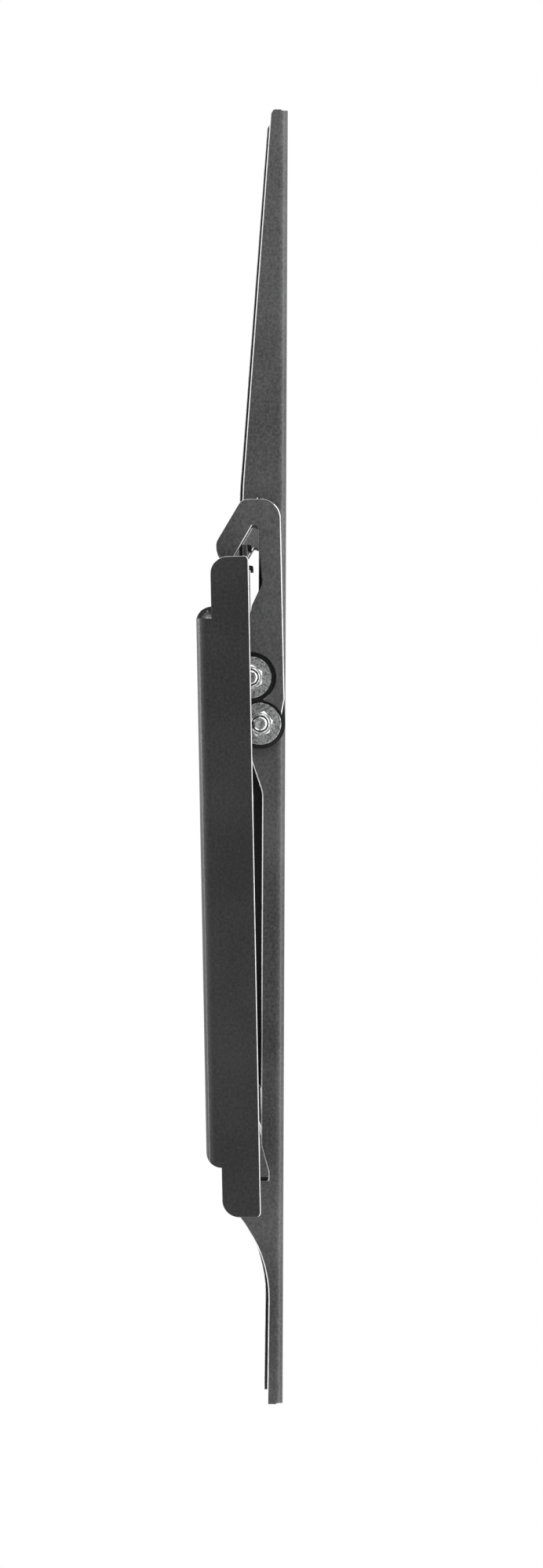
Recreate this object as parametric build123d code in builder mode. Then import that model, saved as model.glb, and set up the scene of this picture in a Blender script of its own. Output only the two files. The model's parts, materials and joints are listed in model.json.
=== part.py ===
from build123d import *
import os
from math import atan2, cos, degrees, hypot, radians, sin

os.makedirs("parts", exist_ok=True)

# A low-profile tilting wall mount for a flat television.
# A wide formed steel plate is bolted to the wall. Two upright arms hang on its rails, and the
# television is bolted to their front faces. Each arm tilts on a pair of hook brackets.
#
# Axes: X across, Z up, and Y into the wall. The wall plate's back face lies on Y = 0.
# Side profiles are drawn as (depth, height): depth is the distance out from the wall, so it is -Y.
# "Outboard" is the distance from an arm's own middle plane towards the nearer end of the plate.

# ---- driving dimensions, mm ----
# wall plate
PLATE_WIDTH = 600.0
PLATE_HEIGHT = 231.8
PLATE_SHEET = 1.5
CHEEK_DEPTH = 18.7
CHEEK_STEP = 5.3            # how far the cheeks stand off the wall above and below the shelves
CHEEK_BEND = 4.5            # outside radius of the bend between the panel and a cheek
SHELF_HEIGHT = 98.5         # outer face of each shelf, above and below the middle
LIP_DEPTH = 18.3            # front face of both rail lips
TOP_LIP = 120.0
BOTTOM_LIP = -104.8
FORM_RADIUS = 4.0           # inside radius of the bends along the shelves
NOTCH_TOP = 94.4            # the cheeks' upper step, which shows the end of the shelf's bend
NOTCH_BOTTOM = -97.2
CHEEK_CORNER = 6.0          # rear corners of the cheeks
CHEEK_FRONT_CORNER = 1.5
NOTCH_CORNER = 4.0          # the cheeks' lower step turns round with the shelf's bend

# openings in the panel
SLOT_ROW = 70.0             # height of the fixing rows above and below the middle
SLOT_LENGTH = 60.0
SLOT_WIDTH = 8.0
STUD_SPACING = 406.4        # 16 inches
CORNER_SPACING = 508.0
WINDOW_PITCH = 140.0
WINDOW_WIDTH = 100.0
WINDOW_HEIGHT = 84.0
WINDOW_CORNER = 12.0

# arms
ARM_X = 200.0               # half of the spacing between the two arms
ARM_WIDTH = 46.0
ARM_SHEET = 2.0
ARM_TOP = 219.5             # heights along the arm are counted from its pivot
ARM_BOTTOM = -243.0
ARM_BEND = 3.2              # outside radius of the bends at the front corners
ARM_DEPTH = 30.0            # deepest that a flange may reach behind the front face
FRONT_OFFSET = 9.0          # front face, in front of the pivot
REST_LEAN = 1.32            # degrees that the hanging arm leans out at the top
SCREW_PITCH = 100.0         # spacing of the round television holes along the arm
HOLE_RADIUS = 4.5
HOLE_SLOT = 30.0
INNER_DROP = 3.0            # how much shorter the inboard flange is at each end
INNER_DEEPER = 1.3          # how much further back its straight edges lie
INNER_STIFFENER = 3.6       # and how much further back below the brackets

# tilting hook brackets
PIVOT = (21.66, 57.38)      # depth and height of the arm's pivot bolt
TILTER = (18.56, 73.98)     # depth and height of the tilt bolt, which rides in the arc slot
ARM_TRAVEL = 26.6           # degrees that an arm turns on its brackets
HOOK_SHEET = 2.0
LINK_SHEET = 1.5
LOBE_RADIUS = 9.0
PIVOT_SCALLOP = 8.2         # radii of the scallops that clear the washers
TILTER_SCALLOP = 9.0
LINK_TOP = (26.4, 104.0)    # centre and radius of the link plates' upper end
LINK_TOP_RADIUS = 2.8
FRICTION_GAP = 0.3
FRICTION_SHEET = 0.5
FRICTION_RADIUS = 8.0

# M5 hardware
BOLT_RADIUS = 2.5
BOLT_HOLE = 2.6
SLEEVE_RADIUS = 4.0
SLEEVE_FIT = 0.08
SLOT_PLAY = 0.3
WASHER_RADIUS = 7.5
WASHER_SHEET = 1.2
HEX_RADIUS = 4.62
NUT_HEIGHT = 4.0
HEAD_HEIGHT = 3.5
BOLT_TIP = 1.2              # thread that shows past the nut
EASE = 0.05                 # radial ease between a nut and its bolt
PIVOT_NUT_TURN = 12.0       # degrees that each nut and bolt head happened to stop at
TILT_NUT_TURN = 25.0

# nylon glides
GLIDE_WIDTH = 36.0
GLIDE_WALL = 1.2
GLIDE_GAP = 0.3
GLIDE_BOTTOM = 103.0
GLIDE_FRONT = 119.2         # the front wall is only a bead that keeps the glide on the lip
GLIDE_CORNER = 0.9

CUT_MARGIN = 1.0            # how far a cutting shape runs past what it cuts

# ---- worked out from them ----
HALF_WIDTH = PLATE_WIDTH / 2
HALF_HEIGHT = PLATE_HEIGHT / 2
FLANGE = ARM_WIDTH / 2
LINK_INNER = FLANGE + FRICTION_GAP + FRICTION_SHEET
LINK_OUTER = LINK_INNER + LINK_SHEET
HOOK_OUTER = LINK_OUTER + HOOK_SHEET
WASHER_OUTER = LINK_OUTER + WASHER_SHEET
LIP_BACK = LIP_DEPTH - PLATE_SHEET

TILT_ARM = (TILTER[0] - PIVOT[0], TILTER[1] - PIVOT[1])
SLOT_RADIUS = hypot(TILT_ARM[0], TILT_ARM[1])
SLOT_START = degrees(atan2(TILT_ARM[1], TILT_ARM[0])) + REST_LEAN


def side_plane(x):
    """A plane across the mount at x: its first axis is depth and its second is height."""
    return Plane(origin=(x, 0, 0), x_dir=(0, -1, 0), z_dir=(-1, 0, 0))


def arm_plane(x):
    """The same, centred on the pivot and leaning with the arm."""
    lean = radians(REST_LEAN)
    return Plane(
        origin=(x, -PIVOT[0], PIVOT[1]),
        x_dir=(0, -cos(lean), -sin(lean)),
        z_dir=(-1, 0, 0),
    )


def across(side, first, second):
    """Start x and width of a piece between two outboard distances, for extruding along -X."""
    ends = sorted((side * (ARM_X + first), side * (ARM_X + second)))
    return ends[1], ends[1] - ends[0]


def save(piece, name):
    piece.label = name
    export_step(piece, f"parts/{name}.step")


# ---- wall plate ----
# Panel, shelves and lips are one section along X. The cheeks are bent forward from the panel's ends.
bend_start = FORM_RADIUS + PLATE_SHEET - SHELF_HEIGHT
inner_width = PLATE_WIDTH - 2 * PLATE_SHEET
bend_reach = CHEEK_BEND + PLATE_SHEET

with BuildPart() as wall_plate:
    # panel with the two upright bends, still square on their outside
    with BuildSketch(Plane.XY.offset(bend_start)):
        with Locations((0, -bend_reach / 2)):
            Rectangle(PLATE_WIDTH, bend_reach)
        with BuildSketch(mode=Mode.PRIVATE) as hollow:
            with Locations((0, -bend_reach / 2 - PLATE_SHEET)):
                Rectangle(inner_width, bend_reach)
            fillet(hollow.vertices().group_by(Axis.Y)[-1], CHEEK_BEND - PLATE_SHEET)
        add(hollow.sketch, mode=Mode.SUBTRACT)
    extrude(amount=NOTCH_TOP - bend_start)

    # shelves and lips, rounded where they turn
    with BuildSketch(side_plane(inner_width / 2)):
        with BuildLine():
            FilletPolyline(
                (LIP_DEPTH, TOP_LIP),
                (LIP_DEPTH, SHELF_HEIGHT - PLATE_SHEET),
                (PLATE_SHEET, SHELF_HEIGHT - PLATE_SHEET),
                (PLATE_SHEET, PLATE_SHEET - SHELF_HEIGHT),
                (LIP_DEPTH, PLATE_SHEET - SHELF_HEIGHT),
                (LIP_DEPTH, BOTTOM_LIP),
                radius=[
                    FORM_RADIUS + PLATE_SHEET,
                    FORM_RADIUS,
                    FORM_RADIUS,
                    FORM_RADIUS + PLATE_SHEET,
                ],
            )
            offset(amount=PLATE_SHEET, side=Side.RIGHT)
        make_face()
    extrude(amount=inner_width)

    # flat part of the cheeks, stepped back from the wall above and below the shelves
    for x in (HALF_WIDTH, PLATE_SHEET - HALF_WIDTH):
        with BuildSketch(side_plane(x)):
            with BuildLine():
                FilletPolyline(
                    (CHEEK_BEND, NOTCH_TOP),
                    (CHEEK_STEP, NOTCH_TOP),
                    (CHEEK_STEP, HALF_HEIGHT),
                    (CHEEK_DEPTH, HALF_HEIGHT),
                    (CHEEK_DEPTH, -HALF_HEIGHT),
                    (CHEEK_STEP, -HALF_HEIGHT),
                    (CHEEK_STEP, NOTCH_BOTTOM),
                    (0, NOTCH_BOTTOM),
                    (0, bend_start),
                    (CHEEK_BEND, bend_start),
                    radius=[
                        0,
                        0,
                        CHEEK_CORNER,
                        CHEEK_FRONT_CORNER,
                        CHEEK_FRONT_CORNER,
                        CHEEK_CORNER,
                        0,
                        NOTCH_CORNER,
                        0,
                        0,
                    ],
                    close=True,
                )
            make_face()
        extrude(amount=PLATE_SHEET)

    # the outside of the upright bends
    with BuildSketch(Plane.XY.offset(NOTCH_BOTTOM - CUT_MARGIN)):
        with Locations((0, -CHEEK_BEND / 2)):
            Rectangle(PLATE_WIDTH, CHEEK_BEND)
        with BuildSketch(mode=Mode.PRIVATE) as rounded:
            with Locations((0, -CHEEK_BEND)):
                block = Rectangle(PLATE_WIDTH, 2 * CHEEK_BEND)
            fillet(block.vertices().group_by(Axis.Y)[-1], CHEEK_BEND)
        add(rounded.sketch, mode=Mode.SUBTRACT)
    extrude(amount=NOTCH_TOP - NOTCH_BOTTOM + CUT_MARGIN, mode=Mode.SUBTRACT)

    # fixing slots, round fixing holes and cable windows
    with BuildSketch(Plane.XZ):
        with GridLocations(STUD_SPACING, 2 * SLOT_ROW, 2, 2):
            SlotOverall(SLOT_LENGTH, SLOT_WIDTH)
        with GridLocations(STUD_SPACING / 2, 2 * SLOT_ROW, 2, 2):
            SlotOverall(SLOT_LENGTH, SLOT_WIDTH)
        with GridLocations(CORNER_SPACING, 2 * SLOT_ROW, 2, 2):
            Circle(SLOT_WIDTH / 2)
        with GridLocations(0, 2 * SLOT_ROW, 1, 2):
            Circle(SLOT_WIDTH / 2)
        with GridLocations(WINDOW_PITCH, 0, 4, 1):
            RectangleRounded(WINDOW_WIDTH, WINDOW_HEIGHT, WINDOW_CORNER)
    extrude(amount=PLATE_SHEET + CUT_MARGIN, both=True, mode=Mode.SUBTRACT)
save(wall_plate.part, "wall_plate")


# ---- arms ----
# One channel each: a web that faces the television, and two shaped flanges.
def slot_arc(x, width):
    """The arc slot's outline in an arm's plane, as a face."""
    with BuildSketch(arm_plane(x)) as slot:
        with BuildLine(mode=Mode.PRIVATE) as middle:
            CenterArc((0, 0), SLOT_RADIUS, SLOT_START, ARM_TRAVEL)
        SlotArc(middle.edges()[0], width)
    return slot.sketch


def flange_outline(drop, deeper, stiffener):
    """Flange edge behind the web, as (distance in front of the pivot, height along the arm).

    drop shortens both ends, deeper moves the long straight edges back, and stiffener moves
    back the stretch just below the brackets.
    """
    points = [
        (12.0, ARM_TOP - drop, 0),
        (2.9 - deeper, ARM_TOP - drop, 1.8),
        (-5.8 - deeper, 93.9, 3.0),
        (-6.4 - deeper, 86.0, 2.0),
        (-6.8 - deeper, 74.2, 1.2),
        (-4.2 - deeper, 72.9, 0.8),
        (-1.0 - deeper, 80.9, 0.4),
        (0.5 - deeper, 80.3, 0.4),
        (0.5 - deeper, 40.0, 8.0),
        (-3.0, 27.6, 2.0),
        (-18.6, 23.0, 8.0),
        (-18.6, 2.0, 8.0),
        (-8.0, -10.6, 2.0),
        (-3.2 - stiffener, -12.6, 2.0),
        (0.9 - stiffener, -24.6, 10.0),
        (0.9 - stiffener, -127.6, 1.5),
        (0.9, -131.2, 1.5),
        (0.9, -150.6, 6.0),
        (3.6, -160.0, 2.0),
        (3.6, -163.2, 0.6),
        (-11.0, -163.2, 1.0),
        (-11.0, -171.5, 2.5),
        (-5.6, -177.4, 36.0),
        (0.9 - deeper, -188.2, 36.0),
        (3.9 - deeper, -200.0, 42.0),
        (3.5 - deeper, ARM_BOTTOM + drop, 0),
        (12.0, ARM_BOTTOM + drop, 0),
    ]
    if stiffener == 0:
        points = [point for point in points if point[1] not in (-127.6, -131.2)]
    return [(depth, height) for depth, height, corner in points], [corner for *_, corner in points]


def build_arm(side):
    start, width = across(side, -FLANGE, FLANGE)
    back = FRONT_OFFSET - ARM_DEPTH
    middle_height = (ARM_TOP + ARM_BOTTOM) / 2
    base = arm_plane(side * ARM_X)
    section = Plane(
        origin=base.from_local_coords((0, ARM_BOTTOM, 0)),
        x_dir=(1, 0, 0),
        z_dir=base.y_dir,
    )
    front_plane = Plane(
        origin=base.from_local_coords((FRONT_OFFSET, middle_height, 0)),
        x_dir=(1, 0, 0),
        z_dir=base.x_dir,
    )
    with BuildPart() as arm:
        # plain channel, as long as the whole arm
        with BuildSketch(section):
            with BuildLine():
                FilletPolyline(
                    (-FLANGE, -back),
                    (-FLANGE, -FRONT_OFFSET),
                    (FLANGE, -FRONT_OFFSET),
                    (FLANGE, -back),
                    radius=ARM_BEND,
                )
                offset(amount=ARM_SHEET, side=Side.LEFT)
            make_face()
        extrude(amount=ARM_TOP - ARM_BOTTOM)

        # everything outside the flange outlines is cut away, one flange at a time
        outer_cut = (0, FLANGE + CUT_MARGIN, 0, 0, 0)
        inner_cut = (-FLANGE - CUT_MARGIN, 0, INNER_DROP, INNER_DEEPER, INNER_STIFFENER)
        for first, second, *shape in (outer_cut, inner_cut):
            cut_start, cut_width = across(side, first, second)
            with BuildSketch(arm_plane(cut_start)):
                with Locations((FRONT_OFFSET - ARM_SHEET, middle_height)):
                    cut_height = ARM_TOP - ARM_BOTTOM + 2 * CUT_MARGIN
                    Rectangle(ARM_DEPTH, cut_height, align=(Align.MAX, Align.CENTER))
                points, corners = flange_outline(*shape)
                with BuildSketch(mode=Mode.PRIVATE) as kept:
                    with BuildLine():
                        FilletPolyline(*points, radius=corners, close=True)
                    make_face()
                add(kept.sketch, mode=Mode.SUBTRACT)
            extrude(amount=cut_width, mode=Mode.SUBTRACT)

        # pivot holes and arc slots through both flanges
        with BuildSketch(arm_plane(start)):
            Circle(SLEEVE_RADIUS + SLEEVE_FIT)
        extrude(amount=width, mode=Mode.SUBTRACT)
        extrude(slot_arc(start, 2 * (SLEEVE_RADIUS + SLOT_PLAY)), amount=width, mode=Mode.SUBTRACT)

        # television holes in the web: round at the standard spacings, slotted between them
        with BuildSketch(front_plane):
            with GridLocations(0, SCREW_PITCH, 1, 5):
                Circle(HOLE_RADIUS)
            with GridLocations(0, SCREW_PITCH, 1, 4):
                SlotOverall(HOLE_SLOT, 2 * HOLE_RADIUS, rotation=90)
        extrude(amount=-ARM_SHEET - CUT_MARGIN, mode=Mode.SUBTRACT)
    return arm.part


# ---- hook brackets ----
HOOK_POINTS = [
    (16.6, 137.6, 3.6),
    (30.4, 137.5, 7.0),
    (30.5, 66.0, 6.0),
    (29.3, 60.2, 0),
    (25.6, 60.2, 0),
    (17.0, 78.0, 0),
    (11.0, 81.0, 2.0),
    (12.6, 92.0, 3.0),
    (18.9, 96.2, 2.0),
    (19.5, 99.6, 2.0),
    (23.3, 107.4, 5.0),
    (22.3, 121.2, 6.0),
    (22.4, 127.6, 0.8),
    (20.4, 128.6, 0.8),
    (13.1, 116.5, 0.6),
    (11.4, 114.4, 1.2),
    (7.2, 118.6, 4.0),
    (7.2, 122.4, 4.2),
]


def build_hook_plate(side, first, second):
    """A plate that hangs on the top lip by its notch. Its lower end is scalloped round the washers."""
    start, width = across(side, first, second)
    with BuildPart() as plate:
        with BuildSketch(side_plane(start)):
            with BuildLine():
                FilletPolyline(
                    *[(depth, height) for depth, height, corner in HOOK_POINTS],
                    radius=[corner for *_, corner in HOOK_POINTS],
                    close=True,
                )
            make_face()
            with Locations(PIVOT):
                Circle(PIVOT_SCALLOP, mode=Mode.SUBTRACT)
            with Locations(TILTER):
                Circle(TILTER_SCALLOP, mode=Mode.SUBTRACT)
        extrude(amount=width)
    return plate.part


def build_link_plate(side, first, second):
    """The plate behind a hook plate, whose two round lobes carry the bolts."""
    start, width = across(side, first, second)
    with BuildPart() as plate:
        with BuildSketch(side_plane(start)):
            with Locations(PIVOT, TILTER):
                Circle(LOBE_RADIUS)
            with Locations(LINK_TOP):
                Circle(LINK_TOP_RADIUS)
            make_hull()
            with Locations(PIVOT, TILTER):
                Circle(BOLT_HOLE, mode=Mode.SUBTRACT)
        extrude(amount=width)
    return plate.part


def build_ring(side, place, outer, inner, spans):
    """Flat rings or tubes on one bolt axis, one solid for each span of outboard distances."""
    with BuildPart() as rings:
        for first, second in spans:
            start, width = across(side, first, second)
            with BuildSketch(side_plane(start)):
                with Locations(place):
                    Circle(outer)
                    Circle(inner, mode=Mode.SUBTRACT)
            extrude(amount=width)
    return rings.part


def build_bolt(side, place, turn):
    """A hexagon bolt: its head is inboard and its threaded end is outboard."""
    head_start, head_width = across(side, -WASHER_OUTER - HEAD_HEIGHT, -WASHER_OUTER)
    shank_start, shank_width = across(side, -WASHER_OUTER, WASHER_OUTER + NUT_HEIGHT + BOLT_TIP)
    with BuildPart() as bolt:
        with BuildSketch(side_plane(head_start)):
            with Locations(place):
                RegularPolygon(HEX_RADIUS, 6, rotation=turn)
        extrude(amount=head_width)
        with BuildSketch(side_plane(shank_start)):
            with Locations(place):
                Circle(BOLT_RADIUS)
        extrude(amount=shank_width)
    return bolt.part


def build_nut(side, place, turn):
    start, width = across(side, WASHER_OUTER, WASHER_OUTER + NUT_HEIGHT)
    with BuildPart() as nut:
        with BuildSketch(side_plane(start)):
            with Locations(place):
                RegularPolygon(HEX_RADIUS, 6, rotation=turn)
                Circle(BOLT_RADIUS + EASE, mode=Mode.SUBTRACT)
        extrude(amount=width)
    return nut.part


def build_glide(side):
    """A nylon saddle that rides along the top lip, with a long back wall and a bead in front."""
    start, width = across(side, -GLIDE_WIDTH / 2, GLIDE_WIDTH / 2)
    slot_depth = PLATE_SHEET + 2 * GLIDE_GAP
    top = TOP_LIP + GLIDE_GAP + GLIDE_WALL
    middle = (LIP_BACK + LIP_DEPTH) / 2
    with BuildPart() as glide:
        with BuildSketch(side_plane(start)):
            with Locations((middle, (GLIDE_BOTTOM + top) / 2)):
                body = Rectangle(slot_depth + 2 * GLIDE_WALL, top - GLIDE_BOTTOM)
            fillet(body.vertices().group_by(Axis.Y)[-1], GLIDE_CORNER)
            with Locations((middle, (GLIDE_BOTTOM + TOP_LIP + GLIDE_GAP) / 2)):
                Rectangle(slot_depth, TOP_LIP + GLIDE_GAP - GLIDE_BOTTOM, mode=Mode.SUBTRACT)
            with Locations((middle, (GLIDE_BOTTOM + GLIDE_FRONT) / 2)):
                Rectangle(
                    slot_depth + GLIDE_WALL,
                    GLIDE_FRONT - GLIDE_BOTTOM,
                    align=(Align.MIN, Align.CENTER),
                    mode=Mode.SUBTRACT,
                )
        extrude(amount=width)
    return glide.part


for side, name in ((-1, "left"), (1, "right")):
    save(build_arm(side), f"{name}_arm")
    save(build_hook_plate(side, LINK_OUTER, HOOK_OUTER), f"{name}_outer_hook_plate")
    save(build_hook_plate(side, -HOOK_OUTER, -LINK_OUTER), f"{name}_inner_hook_plate")
    save(build_link_plate(side, LINK_INNER, LINK_OUTER), f"{name}_outer_link_plate")
    save(build_link_plate(side, -LINK_OUTER, -LINK_INNER), f"{name}_inner_link_plate")
    save(build_glide(side), f"{name}_rail_glide")

    washer_spans = ((LINK_OUTER, WASHER_OUTER), (-WASHER_OUTER, -LINK_OUTER))
    friction_spans = ((LINK_INNER - FRICTION_SHEET, LINK_INNER), (-LINK_INNER, FRICTION_SHEET - LINK_INNER))
    sleeve_span = ((-LINK_INNER, LINK_INNER),)
    for place, role, turn in ((PIVOT, "pivot", PIVOT_NUT_TURN), (TILTER, "tilt", TILT_NUT_TURN)):
        save(build_bolt(side, place, turn), f"{name}_{role}_bolt")
        save(build_nut(side, place, turn), f"{name}_{role}_nut")
        washers = build_ring(side, place, WASHER_RADIUS, BOLT_HOLE, washer_spans)
        save(washers, f"{name}_{role}_washers")
        friction = build_ring(side, place, FRICTION_RADIUS, SLEEVE_RADIUS + EASE, friction_spans)
        save(friction, f"{name}_{role}_friction_washers")
        sleeve = build_ring(side, place, SLEEVE_RADIUS, BOLT_HOLE, sleeve_span)
        save(sleeve, f"{name}_{role}_sleeve")
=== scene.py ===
# %% [markdown]
# A low-profile tilting wall mount for a flat television.
# It is a wide steel plate with rails, and two upright arms that hang from the top rail on pairs
# of hook plates. Everything is sheet steel with a powder coat, held by small zinc-plated bolts.
# The CAD model gives the sizes and places. This script gives each piece its edges and its finish.

# %% Load the frame
import json
from math import atan2, cos, hypot, pi, radians, sin

import bpy
from mathutils import Matrix, Vector


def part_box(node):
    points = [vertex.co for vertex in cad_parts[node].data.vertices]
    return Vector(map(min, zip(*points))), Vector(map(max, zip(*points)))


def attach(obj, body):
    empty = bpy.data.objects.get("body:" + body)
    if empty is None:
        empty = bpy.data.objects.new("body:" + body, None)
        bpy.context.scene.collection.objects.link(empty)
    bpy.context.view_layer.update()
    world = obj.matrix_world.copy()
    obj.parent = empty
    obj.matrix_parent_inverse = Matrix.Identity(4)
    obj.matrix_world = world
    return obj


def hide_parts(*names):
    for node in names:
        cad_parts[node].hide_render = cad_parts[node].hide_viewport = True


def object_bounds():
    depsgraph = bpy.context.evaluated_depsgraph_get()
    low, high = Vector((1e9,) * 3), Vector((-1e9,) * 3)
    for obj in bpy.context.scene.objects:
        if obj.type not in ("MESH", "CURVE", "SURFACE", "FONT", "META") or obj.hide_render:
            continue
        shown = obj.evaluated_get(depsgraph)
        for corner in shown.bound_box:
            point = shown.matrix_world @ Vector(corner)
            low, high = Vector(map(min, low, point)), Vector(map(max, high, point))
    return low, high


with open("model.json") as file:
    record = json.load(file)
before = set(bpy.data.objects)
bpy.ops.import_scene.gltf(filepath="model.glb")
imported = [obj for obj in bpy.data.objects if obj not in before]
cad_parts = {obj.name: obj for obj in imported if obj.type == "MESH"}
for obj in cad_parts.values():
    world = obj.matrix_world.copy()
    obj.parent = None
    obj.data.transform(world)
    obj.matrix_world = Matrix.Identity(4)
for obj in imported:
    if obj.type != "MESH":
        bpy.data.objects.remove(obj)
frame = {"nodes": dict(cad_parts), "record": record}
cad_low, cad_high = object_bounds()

MM = 0.001
bpy.context.scene.view_settings.view_transform = "Standard"
print("CAD box, mm:", [round(v / MM, 1) for v in cad_high - cad_low])

# %% [markdown]
# Colours are easiest to pick as hex values, which are made for screens. Blender's shaders work
# with linear light, so one function turns a hex value into a linear colour.
# A second small function adds a shader node, sets its inputs and joins its links in one line,
# so that a material reads as a short list of what happens to the light.


# %% Colour and node helpers
def linear(hex_value, alpha=1.0):
    """An sRGB hex value, such as 0x505050, as a linear colour with alpha."""
    channels = [(hex_value >> shift & 255) / 255 for shift in (16, 8, 0)]
    lit = [c / 12.92 if c <= 0.04045 else ((c + 0.055) / 1.055) ** 2.4 for c in channels]
    return lit + [alpha]


def add(tree, kind, links=None, inputs=None, stops=(), **settings):
    """Adds one node. links joins its inputs to other sockets, and inputs sets their values.

    stops are the (position, hex value) pairs of a colour ramp.
    """
    node = tree.nodes.new(kind)
    for name, value in settings.items():
        setattr(node, name, value)
    for index, (position, hex_value) in enumerate(stops):
        elements = node.color_ramp.elements
        element = elements[index] if index < len(elements) else elements.new(position)
        element.position = position
        element.color = linear(hex_value)
    for name, value in (inputs or {}).items():
        node.inputs[name].default_value = value
    for name, socket in (links or {}).items():
        tree.links.new(socket, node.inputs[name])
    return node


def new_material(name):
    """An empty material with its Principled shader and Object coordinates ready."""
    material = bpy.data.materials.new(name)
    material.use_nodes = True
    tree = material.node_tree
    shader = tree.nodes["Principled BSDF"]
    place = add(tree, "ShaderNodeTexCoord").outputs["Object"]
    return material, tree, shader, place


print("helpers ready")

# %% [markdown]
# Powder coat is dry paint that is blown onto the steel and then baked until it flows. It keeps a
# fine leathery grain, because the powder never levels out completely. To the eye that is a soft
# sheen broken into tiny dimples, with a slow drift in tone where the coat is thicker.
# Two noises make it: one for the dimples, under a millimetre across, and one for the drift.


# %% Powder coat
DRIFT_MM = 38.0          # how far apart the thicker and the thinner places of a coat are
SHEEN_SPREAD = 0.06      # how much the gloss varies to each side of its middle value


def powder_coat(name, dark, light, grain_mm, grain_depth_mm, roughness):
    material, tree, shader, place = new_material(name)
    grain = add(tree, "ShaderNodeTexNoise", {"Vector": place},
                {"Scale": 1 / (grain_mm * MM), "Detail": 3.0, "Roughness": 0.55})
    drift = add(tree, "ShaderNodeTexNoise", {"Vector": place},
                {"Scale": 1 / (DRIFT_MM * MM), "Detail": 2.0})
    fleck = add(tree, "ShaderNodeMath", {0: grain.outputs["Fac"], 1: drift.outputs["Fac"]},
                operation="ADD")
    half = add(tree, "ShaderNodeMath", {0: fleck.outputs["Value"]}, {1: 0.5}, operation="MULTIPLY")
    colour = add(tree, "ShaderNodeValToRGB", {"Fac": half.outputs["Value"]},
                 stops=[(0.38, dark), (0.62, light)])
    tree.links.new(colour.outputs["Color"], shader.inputs["Base Color"])
    sheen_map = add(tree, "ShaderNodeMapRange", {"Value": grain.outputs["Fac"]},
                    {"From Min": 0.3, "From Max": 0.7,
                     "To Min": roughness - SHEEN_SPREAD, "To Max": roughness + SHEEN_SPREAD})
    tree.links.new(sheen_map.outputs["Result"], shader.inputs["Roughness"])
    bump = add(tree, "ShaderNodeBump", {"Height": grain.outputs["Fac"]},
               {"Strength": 1.0, "Distance": grain_depth_mm * MM})
    tree.links.new(bump.outputs["Normal"], shader.inputs["Normal"])
    return material


PLATE_COAT = powder_coat("plate_powder_coat", 0x1E1E1F, 0x313132, 1.0, 0.05, 0.36)
ARM_COAT = powder_coat("arm_powder_coat", 0x323233, 0x555556, 0.9, 0.12, 0.38)
HOOK_COAT = powder_coat("hook_powder_coat", 0x3A3A3B, 0x5C5C5D, 0.9, 0.11, 0.38)
print("powder coats:", PLATE_COAT.name, ARM_COAT.name, HOOK_COAT.name)

# %% [markdown]
# On a cut edge the molten powder pulls back, so the coat is thin there, and handling rubs some
# of it through to bright steel. The near-white colour on the eased edges of the sheet pieces,
# broken here and there, is mostly a painted highlight for the light that the rounded edges catch,
# and partly that bare steel. On the black link plates the edge colour is wear alone. The faces
# inside the arm's channel are painted near-black: painted shade for the shadow in the channel.


# %% Edge colours (painted highlight, and wear on the link plates) and painted shade inside the channel
# On the sheet edges both tones are near-white painted highlight; only on the link plates is the
# dimmer tone coat that is left.
EDGE_BREAKUP_MM = 4.0            # length of the stretches where some coat is left


def edge_wear_and_highlight(name, brighter_tone, dimmer_tone, metallic, roughness):
    """Two edge tones in stretches: painted highlight with some bare steel on the sheet pieces, worn
    coat on the link plates.
    """
    material, tree, shader, place = new_material(name)
    tone_breakup = add(tree, "ShaderNodeTexNoise", {"Vector": place},
               {"Scale": 1 / (EDGE_BREAKUP_MM * MM), "Detail": 4.0})
    colour = add(tree, "ShaderNodeValToRGB", {"Fac": tone_breakup.outputs["Fac"]},
                 stops=[(0.32, dimmer_tone), (0.46, brighter_tone)])
    tree.links.new(colour.outputs["Color"], shader.inputs["Base Color"])
    shader.inputs["Metallic"].default_value = metallic
    shader.inputs["Roughness"].default_value = roughness
    return material


# Near-white on the eased edges: mostly painted highlight, partly bare steel. Its dimmer tone is
# painted highlight too.
EDGE_HIGHLIGHT_STEEL = edge_wear_and_highlight("worn_edge_bright_steel", 0xF6F6F6, 0xE2E2E2, 0.35, 0.45)
LINK_COAT = powder_coat("link_black_electrocoat", 0x0A0A0A, 0x121212, 1.4, 0.01, 0.42)
LINK_EDGE = edge_wear_and_highlight("worn_edge_black_electrocoat", 0x2C2C2D, 0x1A1A1B, 0.6, 0.4)
# Near-black on the faces inside the arm's channel: painted shade.
CHANNEL_SHADE = powder_coat("channel_painted_shade", 0x101011, 0x1A1A1B, 1.2, 0.02, 0.5)
print("edges:", EDGE_HIGHLIGHT_STEEL.name, LINK_EDGE.name, "and", CHANNEL_SHADE.name)

# %% [markdown]
# The bolts, nuts and washers are steel with an electroplated zinc layer. Zinc grows as small
# crystals, so the plate is bright but mottled: patches a millimetre or so wide differ in tone
# and in gloss. Cells of a Voronoi texture make the patches and a noise softens their borders.
# The nuts and bolts are plated loose in a turning barrel, where they rub against each other and
# come out brighter than the washers.


# %% Zinc plate
WANDER_MM = 1.1          # size of the noise that shifts the borders of the patches
WANDER_SHIFT_MM = 0.9    # and how far it shifts them
CRYSTAL_DEPTH_MM = 0.06


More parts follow.
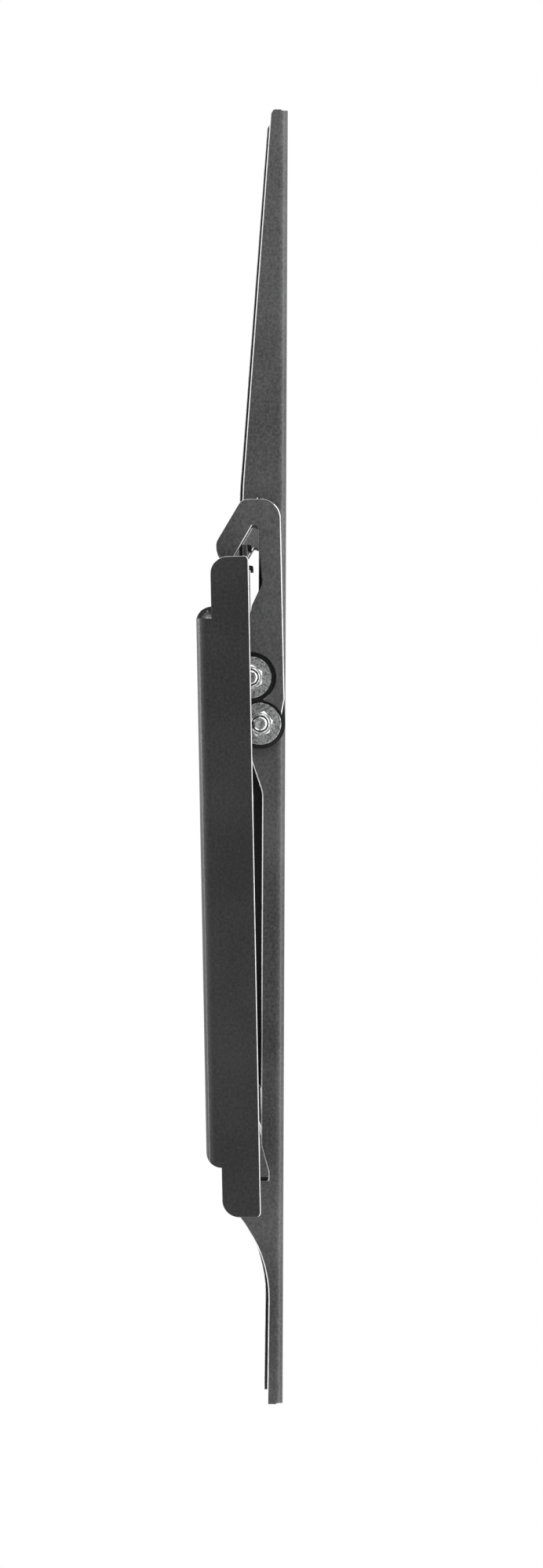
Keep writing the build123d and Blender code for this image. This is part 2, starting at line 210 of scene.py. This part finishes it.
def zinc_plate(name, dark, light, patch_mm, roughness):
    material, tree, shader, place = new_material(name)
    wander = add(tree, "ShaderNodeTexNoise", {"Vector": place},
                 {"Scale": 1 / (WANDER_MM * MM), "Detail": 4.0, "Roughness": 0.6})
    shifted = add(tree, "ShaderNodeVectorMath", {0: wander.outputs["Color"], 2: place},
                  {1: (WANDER_SHIFT_MM * MM,) * 3}, operation="MULTIPLY_ADD")
    patches = add(tree, "ShaderNodeTexVoronoi", {"Vector": shifted.outputs["Vector"]},
                  {"Scale": 1 / (patch_mm * MM)}, feature="F1")
    tone = add(tree, "ShaderNodeMath",
               {0: patches.outputs["Distance"], 1: wander.outputs["Fac"]}, operation="MULTIPLY")
    colour = add(tree, "ShaderNodeValToRGB", {"Fac": tone.outputs["Value"]},
                 stops=[(0.12, light), (0.42, dark)])
    tree.links.new(colour.outputs["Color"], shader.inputs["Base Color"])
    gloss = add(tree, "ShaderNodeMapRange", {"Value": wander.outputs["Fac"]},
                {"From Min": 0.3, "From Max": 0.7,
                 "To Min": roughness - 0.1, "To Max": roughness + 0.12})
    tree.links.new(gloss.outputs["Result"], shader.inputs["Roughness"])
    bump = add(tree, "ShaderNodeBump", {"Height": tone.outputs["Value"]},
               {"Strength": 1.0, "Distance": CRYSTAL_DEPTH_MM * MM})
    tree.links.new(bump.outputs["Normal"], shader.inputs["Normal"])
    shader.inputs["Metallic"].default_value = 1.0
    return material


ZINC = zinc_plate("zinc_plated_steel", 0x858687, 0xD6D7D8, 0.7, 0.36)
NUT_ZINC = zinc_plate("zinc_plated_barrelled_steel", 0xB4B5B6, 0xF4F4F5, 1.2, 0.3)
SLEEVE_ZINC = zinc_plate("zinc_plated_tube", 0x8C8D8E, 0xD8D9DA, 2.2, 0.38)
print("zinc:", ZINC.name, NUT_ZINC.name, SLEEVE_ZINC.name)

# %% [markdown]
# The friction washers and the rail glides are moulded from black nylon. A spark-eroded mould
# leaves an even, very fine matt texture, and nylon itself has a waxy, slightly translucent look.

# %% Black nylon
SPARK_MM = 0.35          # grain of the mould
SPARK_DEPTH_MM = 0.015
GLOW_MM = 0.4            # how far light travels inside the nylon

NYLON, tree, shader, place = new_material("moulded_black_nylon")
spark = add(tree, "ShaderNodeTexNoise", {"Vector": place},
            {"Scale": 1 / (SPARK_MM * MM), "Detail": 2.0})
colour = add(tree, "ShaderNodeValToRGB", {"Fac": spark.outputs["Fac"]},
             stops=[(0.3, 0x101011), (0.7, 0x1A1A1C)])
tree.links.new(colour.outputs["Color"], shader.inputs["Base Color"])
bump = add(tree, "ShaderNodeBump", {"Height": spark.outputs["Fac"]},
           {"Distance": SPARK_DEPTH_MM * MM})
tree.links.new(bump.outputs["Normal"], shader.inputs["Normal"])
shader.inputs["Roughness"].default_value = 0.55
shader.inputs["Subsurface Weight"].default_value = 0.03
shader.inputs["Subsurface Radius"].default_value = (GLOW_MM * MM,) * 3
print("nylon:", NYLON.name)

# %% [markdown]
# The sheet pieces have the right shape already, but a real cut edge is never perfectly sharp:
# tumbling and the coat round it by a few tenths of a millimetre, and that is where the light
# catches. Each piece is copied, its triangles are merged back into flat faces, and the edges
# that turn sharply are marked with a weight. A Bevel modifier rounds the marked edges. A few
# short edges crowd into corners where a bevel has no room, and they are left as they are.
# The new narrow faces take the second material, and finish_of then says which of them keep it.


# %% Ease the edges of the sheet pieces
MERGE_MM = 0.002         # vertices nearer than this are one
FLAT_DEGREES = 0.8       # triangles that differ by less than this are one flat face
HARD_DEGREES = 38        # edges that turn by more than this are eased


def only(*objects):
    """Selects just these objects, the last one active."""
    bpy.ops.object.select_all(action="DESELECT")
    for item in objects:
        item.select_set(True)
    bpy.context.view_layer.objects.active = objects[-1]


def apply_all(item):
    only(item)
    for modifier in list(item.modifiers):
        bpy.ops.object.modifier_apply(modifier=modifier.name)


def smooth(item, degrees=32):
    """Smooth shading across gentle edges, with the large flat faces kept truly flat."""
    only(item)
    bpy.ops.object.shade_smooth_by_angle(angle=radians(degrees))
    weighted = item.modifiers.new("flat_faces", "WEIGHTED_NORMAL")
    weighted.keep_sharp = True
    apply_all(item)


def body_of(node):
    bodies = frame["record"]["behaviour"]["bodies"]
    return next(body for body, members in bodies.items() if node in members)


def stand_for(piece, node):
    """Makes a finished piece stand in for a CAD node: it joins the node's body, and the node is
    hidden.
    """
    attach(piece, body_of(node))
    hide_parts(node)


# Corners where a bevel has no room, as (distance from the middle, Y, Z, reach) in mm.
PLATE_CORNERS = ((300, -1.5, -95.5, 5.5), (298, -1.0, 94.5, 3.0))
ARM_CORNERS = ((180, -23.3, -182.7, 1.2), (180, -33.8, 273.6, 1.2))
SHORT_EDGE = 12.0
# A ledge 0.2 mm high runs along the back of the plate at this height, where the shelf's bend
# starts. It is too low to bevel.
LEDGE = 94.4
LEDGE_REACH = 0.1
BACK_REACH = 0.5


def left_sharp(ends, corners):
    """True for a short edge at one of the corners, and for the edges of the ledge."""
    places = [Vector((abs(end.x), end.y, end.z)) / MM for end in ends]
    at_corner = any((place - Vector(corner[:3])).length < corner[3]
                    for place in places for corner in corners)
    on_ledge = all(abs(place.z - LEDGE) < LEDGE_REACH and place.y > -BACK_REACH
                   for place in places)
    return on_ledge or at_corner and (ends[0] - ends[1]).length < SHORT_EDGE * MM


def sharp_edges(mesh, degrees, corners):
    """Marks for the Bevel modifier the edges that turn by more than degrees."""
    weights = mesh.attributes.new("bevel_weight_edge", "FLOAT", "EDGE")
    normals = {}
    for polygon in mesh.polygons:
        for key in polygon.edge_keys:
            normals.setdefault(key, []).append(polygon.normal)
    for edge in mesh.edges:
        sides = normals.get(tuple(sorted(edge.vertices)), [])
        ends = [mesh.vertices[index].co for index in edge.vertices]
        turns = len(sides) == 2 and sides[0].angle(sides[1], 0) > radians(degrees)
        if turns and not left_sharp(ends, corners):
            weights.data[edge.index].value = 1.0


def ease(node, width_mm, materials, finish_of, corners=()):
    """A copy of a CAD node with eased edges. finish_of picks a material for each face."""
    piece = bpy.data.objects.new(node + "_eased", frame["nodes"][node].data.copy())
    bpy.context.collection.objects.link(piece)
    piece.data.materials.clear()
    for material in materials:
        piece.data.materials.append(material)
    only(piece)
    bpy.ops.object.mode_set(mode="EDIT")
    bpy.ops.mesh.select_all(action="SELECT")
    bpy.ops.mesh.remove_doubles(threshold=MERGE_MM * MM)
    bpy.ops.mesh.dissolve_limited(angle_limit=radians(FLAT_DEGREES))
    bpy.ops.object.mode_set(mode="OBJECT")
    sharp_edges(piece.data, HARD_DEGREES, corners)
    bevel = piece.modifiers.new("eased_edges", "BEVEL")
    bevel.width = width_mm * MM
    bevel.segments = 2
    bevel.limit_method = "WEIGHT"
    bevel.use_clamp_overlap = False
    bevel.material = 1
    apply_all(piece)
    for polygon in piece.data.polygons:
        polygon.material_index = finish_of(polygon)
    smooth(piece)
    stand_for(piece, node)
    return piece


print("easing helper ready, for edges that turn by more than", HARD_DEGREES, "degrees")

# %% [markdown]
# The near-white edge colour is mostly a painted highlight, so it goes where the lamps and the
# bright sky would make one. On the plate and the hooks the edges toward the room, or on top, take
# it, and the ones that face the wall keep their coat colour. The plate's top lip, under the nylon
# glides, keeps its coat colour too. On an arm the front and rear edges both take it. A rule for
# each of these looks at where a face is and which way it points, and gives back the number of its
# material.

# %% Which faces of a sheet piece take which finish
RAIL_LIP_FOOT = 117 * MM


def painted_highlight_in_front(polygon):
    """Only the edges that face the room or look up, toward the lamps, take the painted highlight.
    """
    faces_lamps = polygon.normal.y < -0.25 or polygon.normal.z > 0.6
    return 1 if polygon.material_index == 1 and faces_lamps else 0


def plate_finish(polygon):
    """The same, but the top lip's edges, under the glides, keep the coat colour and no painted
    highlight.
    """
    return painted_highlight_in_front(polygon) if polygon.center.z < RAIL_LIP_FOOT else 0


def worn_all_round(polygon):
    return polygon.material_index


def arm_finish(middle_x, inner_half):
    """Both long edges of an arm take the painted highlight, and the faces inside its channel the
    near-black painted shade.
    """
    def finish_of(polygon):
        inside = abs(polygon.center.x - middle_x) < inner_half and polygon.normal.y > -0.5
        if polygon.material_index == 1:
            return 1 if abs(polygon.normal.y) > 0.25 else 0
        return 2 if inside else 0
    return finish_of


print("finishes ready")

# %% [markdown]
# The wall plate is one wide sheet with its shelves and lips folded forward, and each arm is a
# channel folded from a strip. The hook plates hang on the rail, the black link plates beside
# them carry the bolts, and the glides are moulded saddles that let a bracket slide. The arms
# and hooks are handled most, so they get the widest eased edges.

# %% Ease the wall plate, brackets and arms
SIDES = ("left", "right")
ARM_SHEET = 2.0 * MM
INSIDE_MARGIN = 0.3 * MM
PLATE_EASE, SHEET_EASE, LINK_EASE, GLIDE_EASE = 0.3, 0.35, 0.25, 0.2
plate_piece = ease("wall_plate", PLATE_EASE, (PLATE_COAT, EDGE_HIGHLIGHT_STEEL), plate_finish, PLATE_CORNERS)
print(plate_piece.name, len(plate_piece.data.polygons), "faces")

for side in SIDES:
    arm_low, arm_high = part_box(f"{side}_arm")
    half = (arm_high.x - arm_low.x) / 2
    finish = arm_finish((arm_low.x + arm_high.x) / 2, half - ARM_SHEET + INSIDE_MARGIN)
    arm_piece = ease(f"{side}_arm", SHEET_EASE, (ARM_COAT, EDGE_HIGHLIGHT_STEEL, CHANNEL_SHADE), finish,
                     ARM_CORNERS)
    print(arm_piece.name, len(arm_piece.data.polygons), "faces")
    for place_name in ("outer", "inner"):
        ease(f"{side}_{place_name}_hook_plate", SHEET_EASE, (HOOK_COAT, EDGE_HIGHLIGHT_STEEL),
             painted_highlight_in_front)
        ease(f"{side}_{place_name}_link_plate", LINK_EASE, (LINK_COAT, LINK_EDGE),
             worn_all_round)
    ease(f"{side}_rail_glide", GLIDE_EASE, (NYLON, NYLON), worn_all_round)

# %% [markdown]
# Bolts, nuts, washers and tubes are turned shapes, so one helper turns them all. It adds a
# circle across the X axis, then extrudes it and scales it from one (x, radius) step to the next.
# A solid starts as a filled circle. A ring stays open, and its last loop is bridged to its first.

# %% Turned shapes
TURN_STEPS = 48


def turned(name, centre, steps, ring=False):
    """A shape turned about an axis along X through centre. steps are (x, radius), in mm."""
    first_x, first_radius = steps[0]
    bpy.ops.object.select_all(action="DESELECT")
    bpy.ops.mesh.primitive_circle_add(
        vertices=TURN_STEPS, radius=first_radius * MM, fill_type="NOTHING" if ring else "NGON",
        location=(first_x * MM, centre.y, centre.z), rotation=(0, pi / 2, 0))
    item = bpy.context.object
    item.name = item.data.name = name
    bpy.ops.object.transform_apply(location=True, rotation=True, scale=True)
    bpy.ops.object.mode_set(mode="EDIT")
    bpy.ops.mesh.select_mode(type="EDGE" if ring else "FACE")
    bpy.ops.mesh.select_all(action="SELECT")
    last_x, last_radius = first_x, first_radius
    for x, radius in steps[1:]:
        shift = {"value": ((x - last_x) * MM, 0, 0)}
        if ring:
            bpy.ops.mesh.extrude_edges_move(TRANSFORM_OT_translate=shift)
        else:
            bpy.ops.mesh.extrude_region_move(TRANSFORM_OT_translate=shift)
        scale = radius / last_radius
        bpy.ops.transform.resize(value=(1, scale, scale),
                                 center_override=(x * MM, centre.y, centre.z))
        last_x, last_radius = x, radius
    if ring:
        bpy.ops.mesh.select_all(action="DESELECT")
        bpy.ops.mesh.select_non_manifold(extend=False)
        bpy.ops.mesh.bridge_edge_loops()
    bpy.ops.mesh.select_all(action="SELECT")
    bpy.ops.mesh.normals_make_consistent(inside=False)
    bpy.ops.object.mode_set(mode="OBJECT")
    return item


def cut(item, tool, operation):
    """One boolean, applied, with its tool removed."""
    modifier = item.modifiers.new("cut", "BOOLEAN")
    modifier.operation = operation
    modifier.object = tool
    modifier.solver = "EXACT"
    apply_all(item)
    bpy.data.objects.remove(tool)


def join(name, *items):
    only(*items)
    bpy.ops.object.join()
    whole = bpy.context.object
    whole.name = whole.data.name = name
    return whole


print("turning helper ready")

# %% [markdown]
# All the hardware is M5. The places along each bolt come from the CAD boxes: where the nut
# starts and ends, how thick a washer is and how far the thread shows past the nut.

# %% Sizes of the hardware
pivot_low, pivot_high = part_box("left_pivot_bolt")
tilt_low, tilt_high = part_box("left_tilt_bolt")
nut_low, nut_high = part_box("left_pivot_nut")
washer_low, washer_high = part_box("left_pivot_washers")
friction_low, friction_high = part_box("left_pivot_friction_washers")
sleeve_low, sleeve_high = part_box("left_pivot_sleeve")

BOLT_END = pivot_low.x / MM
HEAD_TOP = pivot_high.x / MM
NUT_OUT = nut_low.x / MM
NUT_IN = nut_high.x / MM
WASHER_OUT = washer_low.x / MM
HEAD_FACE = washer_high.x / MM
WASHER_RADIUS = (washer_high.z - washer_low.z) / 2 / MM
WASHER_SHEET = 1.2
FRICTION_SHEET = 0.5
SLEEVE_OUT = sleeve_low.x / MM
SLEEVE_IN = sleeve_high.x / MM
SLEEVE_RADIUS = (sleeve_high.z - sleeve_low.z) / 2 / MM
FRICTION_RADIUS = (friction_high.z - friction_low.z) / 2 / MM
THREAD_RADIUS = 2.5
THREAD_PITCH = 0.8
BORE_RADIUS = 2.6
PIVOT = (pivot_low + pivot_high) / 2
TILT = (tilt_low + tilt_high) / 2


def far_corner(node, centre):
    """Radius in mm, and turn about X, of the corner of a node furthest from a bolt's axis."""
    offsets = [(v.co.y - centre.y, v.co.z - centre.z)
               for v in frame["nodes"][node].data.vertices]
    reach, turn = max((hypot(across, up), atan2(up, across)) for across, up in offsets)
    return reach / MM, turn


HEX_RADIUS, PIVOT_TURN = far_corner("left_pivot_nut", PIVOT)
TILT_TURN = far_corner("left_tilt_nut", TILT)[1]
HEX_FLAT = HEX_RADIUS * cos(pi / 6)
print("nut", round(NUT_IN - NUT_OUT, 2), "mm thick,", round(2 * HEX_RADIUS, 2), "mm across corners")

# %% [markdown]
# These are lock nuts: a hexagon with a thin round collar that is rolled over a nylon ring.
# The hexagon starts as bar, and turning its end leaves a cone that cuts the six corners into
# curved chamfers. The same happens here: a six-sided cylinder is intersected with a turned
# barrel. The collar and the nylon ring are turned shapes of their own.


# %% Hexagon
BARREL_WIDE = HEX_RADIUS * 1.02      # clear of the corners, so that it cuts nothing there
BARREL_NARROW = HEX_FLAT * 0.99      # just inside the flats, at a turned end
CONE_LENGTH = 0.5
END_MARGIN = 0.01
HEX_EASE = 0.12


def hexagon(name, centre, turn, start_x, end_x, chamfered_ends):
    """A hexagonal prism along X with turned corners on the ends asked for."""
    bpy.ops.object.select_all(action="DESELECT")
    bpy.ops.mesh.primitive_cylinder_add(
        vertices=6, radius=HEX_RADIUS * MM, depth=abs(end_x - start_x) * MM,
        location=((start_x + end_x) / 2 * MM, centre.y, centre.z), rotation=(0, pi / 2, 0))
    item = bpy.context.object
    item.name = item.data.name = name
    bpy.ops.object.transform_apply(location=False, rotation=True, scale=True)
    item.rotation_euler = (turn, 0, 0)
    bpy.ops.object.transform_apply(location=True, rotation=True, scale=True)
    low, high = min(start_x, end_x), max(start_x, end_x)
    ends = [BARREL_NARROW if end in chamfered_ends else BARREL_WIDE for end in ("low", "high")]
    barrel_steps = [(low - END_MARGIN, ends[0]), (low + CONE_LENGTH, BARREL_WIDE),
                    (high - CONE_LENGTH, BARREL_WIDE), (high + END_MARGIN, ends[1])]
    cut(item, turned("barrel", centre, barrel_steps), "INTERSECT")
    return item


def small_bevel(item, width_mm, degrees=25):
    bevel = item.modifiers.new("soft_edges", "BEVEL")
    bevel.width = width_mm * MM
    bevel.segments = 2
    bevel.limit_method = "ANGLE"
    bevel.angle_limit = radians(degrees)
    apply_all(item)


print("hexagon helper ready")

# %% [markdown]
# The nut is put together from three shapes. The hexagon is bored through and
# countersunk where it meets the washer, the collar starts as a tube wall and rolls inward at
# its rim, and the black nylon ring sits under that rim and grips the thread.

# %% Lock nut
COLLAR_HEIGHT = 1.3
COLLAR_RADIUS = 3.55
INSERT_RADIUS = 2.95
COUNTERSINK_RADIUS = 3.3


def make_nut(name, centre, turn):
    hex_out = NUT_OUT + COLLAR_HEIGHT
    body = hexagon(name, centre, turn, hex_out, NUT_IN, ("low", "high"))
    bore = [(hex_out - 0.5, BORE_RADIUS), (NUT_IN - 0.45, BORE_RADIUS),
            (NUT_IN + 0.5, COUNTERSINK_RADIUS)]
    cut(body, turned("bore", centre, bore), "DIFFERENCE")
    small_bevel(body, HEX_EASE)
    body.data.materials.append(NUT_ZINC)
    # from the foot, sunk in the hexagon, up the wall and over the rolled rim
    rolled = [(hex_out + 0.2, BORE_RADIUS + 0.3), (hex_out + 0.2, COLLAR_RADIUS),
              (hex_out - 0.05, COLLAR_RADIUS), (hex_out - 0.25, 3.42), (NUT_OUT + 0.45, 3.38),
              (NUT_OUT + 0.15, 3.26), (NUT_OUT, 3.08), (NUT_OUT + 0.05, 2.94),
              (NUT_OUT + 0.3, 2.86)]
    collar = turned(name + "_collar", centre, rolled, ring=True)
    collar.data.materials.append(NUT_ZINC)
    insert_steps = [(NUT_OUT + 0.55, BORE_RADIUS), (NUT_OUT + 0.5, INSERT_RADIUS),
                    (hex_out, INSERT_RADIUS), (hex_out, BORE_RADIUS)]
    insert = turned(name + "_insert", centre, insert_steps, ring=True)
    insert.data.materials.append(NYLON)
    nut = join(name, collar, insert, body)
    smooth(nut)
    return nut


pivot_nut = make_nut("left_pivot_nut_lock", PIVOT, PIVOT_TURN)
tilt_nut = make_nut("left_tilt_nut_lock", TILT, TILT_TURN)
print("nuts:", len(pivot_nut.data.polygons), "and", len(tilt_nut.data.polygons), "faces")

# %% [markdown]
# A bolt's thread is rolled, which squeezes the steel up into rounded crests. At this size a
# helix and a stack of rings look the same, so the thread is rings at the real pitch, and the
# end has the chamfer that helps a nut to start, with the small dimple that rolling leaves.


# %% Bolt
THREAD_DEPTH = 0.42
SHANK_RADIUS = THREAD_RADIUS - 0.02
HEAD_BITE = 0.5          # how far the shank runs into the head


def make_bolt(name, centre, turn):
    """Head inboard, shank through the bracket, and thread ridges where the nut is."""
    head = hexagon(name + "_head", centre, turn, HEAD_FACE, HEAD_TOP, ("high",))
    small_bevel(head, HEX_EASE)
    root = THREAD_RADIUS - THREAD_DEPTH
    # the dimple, the flat end and the chamfer
    steps = [(BOLT_END + 0.08, 0.5), (BOLT_END, 1.15), (BOLT_END, root - 0.1),
             (BOLT_END + 0.25, root + 0.2)]
    ridge = BOLT_END + 0.3
    while ridge < NUT_IN:
        steps += [(ridge + 0.25 * THREAD_PITCH, THREAD_RADIUS),
                  (ridge + 0.45 * THREAD_PITCH, THREAD_RADIUS),
                  (ridge + 0.85 * THREAD_PITCH, root), (ridge + THREAD_PITCH, root)]
        ridge += THREAD_PITCH
    steps += [(ridge + 0.6, SHANK_RADIUS), (HEAD_FACE + HEAD_BITE, SHANK_RADIUS)]
    bolt = join(name, turned(name + "_shank", centre, steps), head)
    bolt.data.materials.append(NUT_ZINC)
    smooth(bolt, 24)
    return bolt


pivot_bolt = make_bolt("left_pivot_bolt_hex", PIVOT, PIVOT_TURN)
tilt_bolt = make_bolt("left_tilt_bolt_hex", TILT, TILT_TURN)
print("bolts:", len(pivot_bolt.data.polygons), "faces each")

# %% [markdown]
# A washer is punched from sheet and then tumbled, which rounds both rims of its edge and of its
# hole. The friction washers are thinner rings, moulded, and a sleeve is a length of tube, so
# all three are turned from the same closed section. Washers come in pairs, one for each side
# of the bracket.


# %% Washers, friction washers and sleeves
def ring_steps(low, high, outer, inner, ease_mm):
    """The closed section of a flat ring or tube with eased edges."""
    return [(low, inner + ease_mm), (low, outer - ease_mm),
            (low + ease_mm * 0.4, outer - ease_mm * 0.3), (low + ease_mm, outer),
            (high - ease_mm, outer), (high - ease_mm * 0.4, outer - ease_mm * 0.3),
            (high, outer - ease_mm), (high, inner + ease_mm),
            (high - ease_mm, inner), (low + ease_mm, inner)]


def pair_of_rings(name, centre, outer_span, inner_span, radius, hole, ease_mm, material):
    rings = [turned(f"{name}_{index}", centre, ring_steps(*span, radius, hole, ease_mm), ring=True)
             for index, span in enumerate((outer_span, inner_span))]
    pair = join(name, *rings)
    pair.data.materials.append(material)
    smooth(pair, 40)
    return pair


WASHER_EASE, FRICTION_EASE, SLEEVE_EASE = 0.22, 0.1, 0.25
FRICTION_GAP = 0.05      # between a sleeve and the hole of its friction washer
washer_spans = ((WASHER_OUT, WASHER_OUT + WASHER_SHEET), (HEAD_FACE - WASHER_SHEET, HEAD_FACE))
friction_spans = ((SLEEVE_OUT, SLEEVE_OUT + FRICTION_SHEET),
                  (SLEEVE_IN - FRICTION_SHEET, SLEEVE_IN))
made = {}
for role, centre in (("pivot", PIVOT), ("tilt", TILT)):
    made[f"{role}_washers"] = pair_of_rings(
        f"left_{role}_washers_punched", centre, *washer_spans, WASHER_RADIUS, BORE_RADIUS,
        WASHER_EASE, ZINC)
    made[f"{role}_friction_washers"] = pair_of_rings(
        f"left_{role}_friction_washers_moulded", centre, *friction_spans, FRICTION_RADIUS,
        SLEEVE_RADIUS + FRICTION_GAP, FRICTION_EASE, NYLON)
    section = ring_steps(SLEEVE_OUT, SLEEVE_IN, SLEEVE_RADIUS, BORE_RADIUS, SLEEVE_EASE)
    sleeve = turned(f"left_{role}_sleeve_turned", centre, section, ring=True)
    sleeve.data.materials.append(SLEEVE_ZINC)
    smooth(sleeve, 40)
    made[f"{role}_sleeve"] = sleeve
made.update(pivot_nut=pivot_nut, tilt_nut=tilt_nut, pivot_bolt=pivot_bolt, tilt_bolt=tilt_bolt)
print(len(made), "kinds of hardware for the left arm")

# %% [markdown]
# The right arm's brackets mirror the left ones. Each piece is copied with its own mesh and
# mirrored in X. A mirror turns a mesh inside out, so its doubles are merged and its normals
# are made consistent again after it.


# %% Mirror the hardware to the right arm
def mirrored(piece):
    twin = piece.copy()
    twin.data = piece.data.copy()
    twin.name = twin.data.name = piece.name.replace("left_", "right_")
    bpy.context.collection.objects.link(twin)
    twin.data.transform(Matrix.Scale(-1, 4, Vector((1, 0, 0))))
    only(twin)
    bpy.ops.object.mode_set(mode="EDIT")
    bpy.ops.mesh.select_all(action="SELECT")
    bpy.ops.mesh.remove_doubles(threshold=MERGE_MM * MM)
    bpy.ops.mesh.normals_make_consistent(inside=False)
    bpy.ops.object.mode_set(mode="OBJECT")
    return twin


for kind, piece in made.items():
    twin = mirrored(piece)
    stand_for(piece, f"left_{kind}")
    stand_for(twin, f"right_{kind}")
print("hardware mirrored:", len(made), "pieces")

# %% [markdown]
# The studio is a plain pale floor, well below the mount. A slow cloud in its tone keeps it
# from looking printed.

# %% Floor
FLOOR_SIZE = 8.0
FLOOR_DROP = 0.42

bpy.ops.object.select_all(action="DESELECT")
bpy.ops.mesh.primitive_plane_add(size=FLOOR_SIZE, location=(0, 0, cad_low.z - FLOOR_DROP))
floor = bpy.context.object
floor.name = "floor"
bpy.ops.object.transform_apply(location=True, rotation=True, scale=True)
FLOOR, tree, shader, place = new_material("pale_matt_floor")
cloud = add(tree, "ShaderNodeTexNoise", {"Vector": place}, {"Scale": 1.5, "Detail": 3.0})
colour = add(tree, "ShaderNodeValToRGB", {"Fac": cloud.outputs["Fac"]},
             stops=[(0.3, 0xECECEA), (0.7, 0xF2F2F0)])
tree.links.new(colour.outputs["Color"], shader.inputs["Base Color"])
shader.inputs["Roughness"].default_value = 0.8
floor.data.materials.append(FLOOR)
print("floor at", round(floor.data.vertices[0].co.z, 3), "m")

# %% [markdown]
# The sky is white nearly all round, and darker on the side that the object's near end faces.
# Flat faces that look that way then stay deep and dark, and the bends at their borders, which
# mirror the white sides, show as paler bands. That is how bright-field product shots are lit.

# %% Sky
DARK_SIDE = 0.42         # brightness toward the near end, against 1 everywhere else

world = bpy.data.worlds.new("white_sky")
world.use_nodes = True
tree = world.node_tree
around = add(tree, "ShaderNodeTexCoord").outputs["Generated"]
along_x = add(tree, "ShaderNodeSeparateXYZ", {"Vector": around}).outputs["X"]
shade = add(tree, "ShaderNodeMapRange", {"Value": along_x},
            {"From Min": -0.95, "From Max": -0.35, "To Min": DARK_SIDE, "To Max": 1.0},
            interpolation_type="SMOOTHSTEP")
tree.links.new(shade.outputs["Result"], tree.nodes["Background"].inputs["Strength"])
tree.nodes["Background"].inputs["Color"].default_value = (1, 1, 1, 1)
bpy.context.scene.world = world
print("sky:", world.name)

# %% [markdown]
# Three soft panels stand around the near end. A tall strip on the room's side grazes the front
# bend of the arm, a panel above lights the upper end, and a tall one on the wall's side picks
# out the rear bends of the plate. They are weak, because the sky does most of the work.


# %% Lights
def soft_light(name, place, target, size, power):
    bpy.ops.object.light_add(type="AREA", location=place)
    light = bpy.context.object
    light.name = name
    light.data.shape = "RECTANGLE"
    light.data.size, light.data.size_y = size
    light.data.energy = power
    aim = Vector(target) - Vector(place)
    light.rotation_euler = aim.to_track_quat("-Z", "Y").to_euler()
    return light


middle = (cad_low + cad_high) / 2
upper_end = (cad_low.x, middle.y, cad_high.z)
rear_bend = (cad_low.x, 0, 0.1)
soft_light("front_strip", place=(cad_low.x - 0.25, -1.3, 0.2), target=middle,
           size=(0.3, 1.4), power=9)
soft_light("top_panel", place=(cad_low.x - 0.5, -0.5, 1.1), target=upper_end,
           size=(0.7, 0.7), power=7)
soft_light("wall_side_panel", place=(cad_low.x + 0.45, 1.15, 0.1), target=rear_bend,
           size=(0.5, 1.4), power=9)

# %% [markdown]
# The camera stands at the left end of the mount and looks straight along it, from far away
# with a long lens, so that the side is seen almost without perspective. It is rolled by about
# one degree: the plate then leans a little one way and the hanging arm a little the other.

# %% Camera
CAMERA_REACH = 4.2
CAMERA_DEPTH = 0.0253
CAMERA_HEIGHT = 0.0358
CAMERA_ROLL = radians(1.088)
LENS_MM = 270
SENSOR_MM = 36
FAR_LIMIT = 50           # metres, well past the far end of the floor
near_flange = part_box("left_arm")[0].x

camera_data = bpy.data.cameras.new("camera")
camera_data.lens = LENS_MM
camera_data.sensor_width = SENSOR_MM
camera_data.clip_end = FAR_LIMIT
camera = bpy.data.objects.new("camera", camera_data)
bpy.context.collection.objects.link(camera)
up = Vector((0, -sin(CAMERA_ROLL), cos(CAMERA_ROLL)))
ahead = Vector((1, 0, 0))
right = ahead.cross(up)
camera.matrix_world = Matrix((
    (right.x, up.x, -ahead.x, near_flange - CAMERA_REACH),
    (right.y, up.y, -ahead.y, -CAMERA_DEPTH),
    (right.z, up.z, -ahead.z, CAMERA_HEIGHT),
    (0, 0, 0, 1)))
bpy.context.scene.camera = camera
print("camera at", [round(v, 3) for v in camera.matrix_world.translation])
